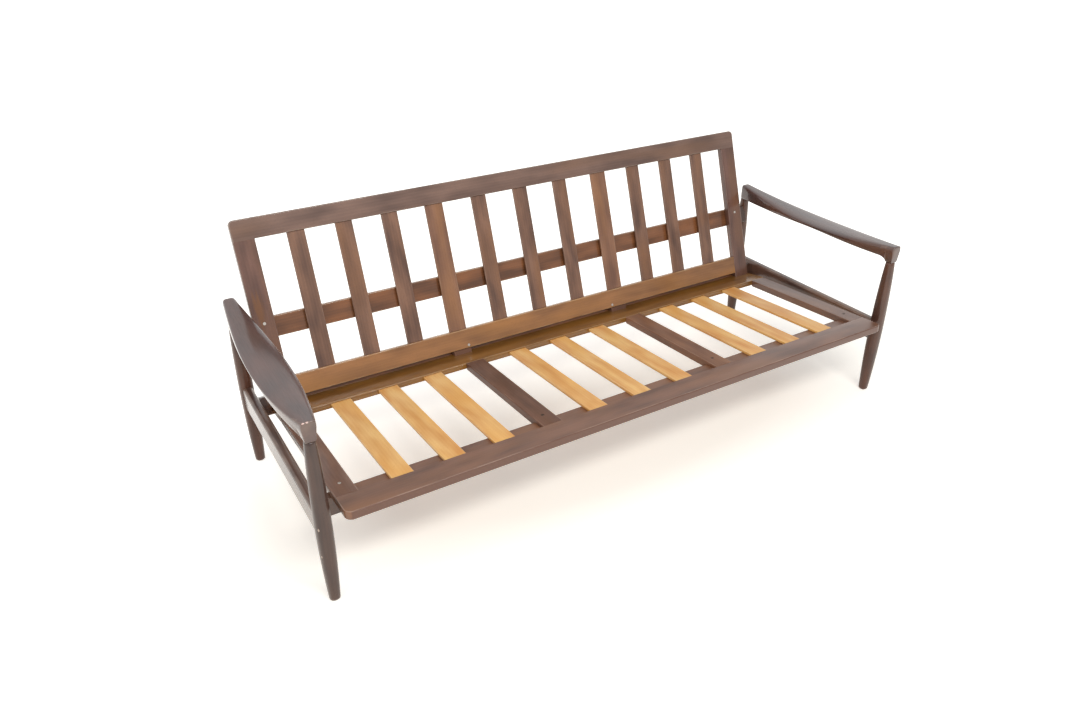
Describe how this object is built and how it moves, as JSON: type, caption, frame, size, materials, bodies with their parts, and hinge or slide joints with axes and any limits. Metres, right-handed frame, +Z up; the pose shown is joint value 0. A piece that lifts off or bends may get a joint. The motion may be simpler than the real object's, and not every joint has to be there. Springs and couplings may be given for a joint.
{
  "type": "sofa frame",
  "caption": "Bare stained-wood sofa frame with spindle legs, sculpted armrests, a sloping slatted seat and a leaning slatted back, made to carry loose cushions.",
  "frame": {"origin": "on the floor, under the middle of the frame's box", "axes": "+X to the right seen from the front, +Y towards the back, +Z up"},
  "size_m": [1.9858, 0.7989, 0.7297],
  "materials": {
    "dark_stained_beech": "dark brown stain under satin lacquer",
    "warm_stained_beech": "warmer brown stain under satin lacquer",
    "pale_beech": "clear lacquer",
    "zinc_plated_steel": "zinc plated"
  },
  "bodies": {
    "root": {"armrest_left": "dark_stained_beech", "armrest_right": "dark_stained_beech", "back_bottom_rail": "warm_stained_beech", "back_cleat_1": "warm_stained_beech", "back_cleat_2": "warm_stained_beech", "back_slat_1": "dark_stained_beech", "back_slat_10": "dark_stained_beech", "back_slat_11": "dark_stained_beech", "back_slat_2": "dark_stained_beech", "back_slat_3": "dark_stained_beech", "back_slat_4": "warm_stained_beech", "back_slat_5": "dark_stained_beech", "back_slat_6": "dark_stained_beech", "back_slat_7": "dark_stained_beech", "back_slat_8": "warm_stained_beech", "back_slat_9": "dark_stained_beech", "back_stile_left": "dark_stained_beech", "back_stile_right": "dark_stained_beech", "back_top_rail": "dark_stained_beech", "cleat_screw_1": "zinc_plated_steel", "cleat_screw_2": "zinc_plated_steel", "cross_bar_1_screw": "zinc_plated_steel", "cross_bar_2_screw": "zinc_plated_steel", "end_rail_left_screw": "zinc_plated_steel", "end_rail_right_screw": "zinc_plated_steel", "front_cross_rail": "dark_stained_beech", "front_leg_left": "dark_stained_beech", "front_leg_right": "dark_stained_beech", "rear_cross_rail": "warm_stained_beech", "rear_leg_left": "dark_stained_beech", "rear_leg_right": "dark_stained_beech", "rear_support_rail": "dark_stained_beech", "seat_cross_bar_1": "dark_stained_beech", "seat_cross_bar_2": "dark_stained_beech", "seat_end_rail_left": "dark_stained_beech", "seat_end_rail_right": "dark_stained_beech", "seat_front_rail": "dark_stained_beech", "seat_rear_rail": "warm_stained_beech", "seat_slat_1": "pale_beech", "seat_slat_2": "pale_beech", "seat_slat_3": "pale_beech", "seat_slat_4": "pale_beech", "seat_slat_5": "pale_beech", "seat_slat_6": "pale_beech", "seat_slat_7": "pale_beech", "seat_slat_8": "pale_beech", "seat_slat_9": "pale_beech", "side_rail_left": "dark_stained_beech", "side_rail_right": "dark_stained_beech", "stile_screw_left": "zinc_plated_steel", "stile_screw_right": "zinc_plated_steel"}
  },
  "joints": []
}
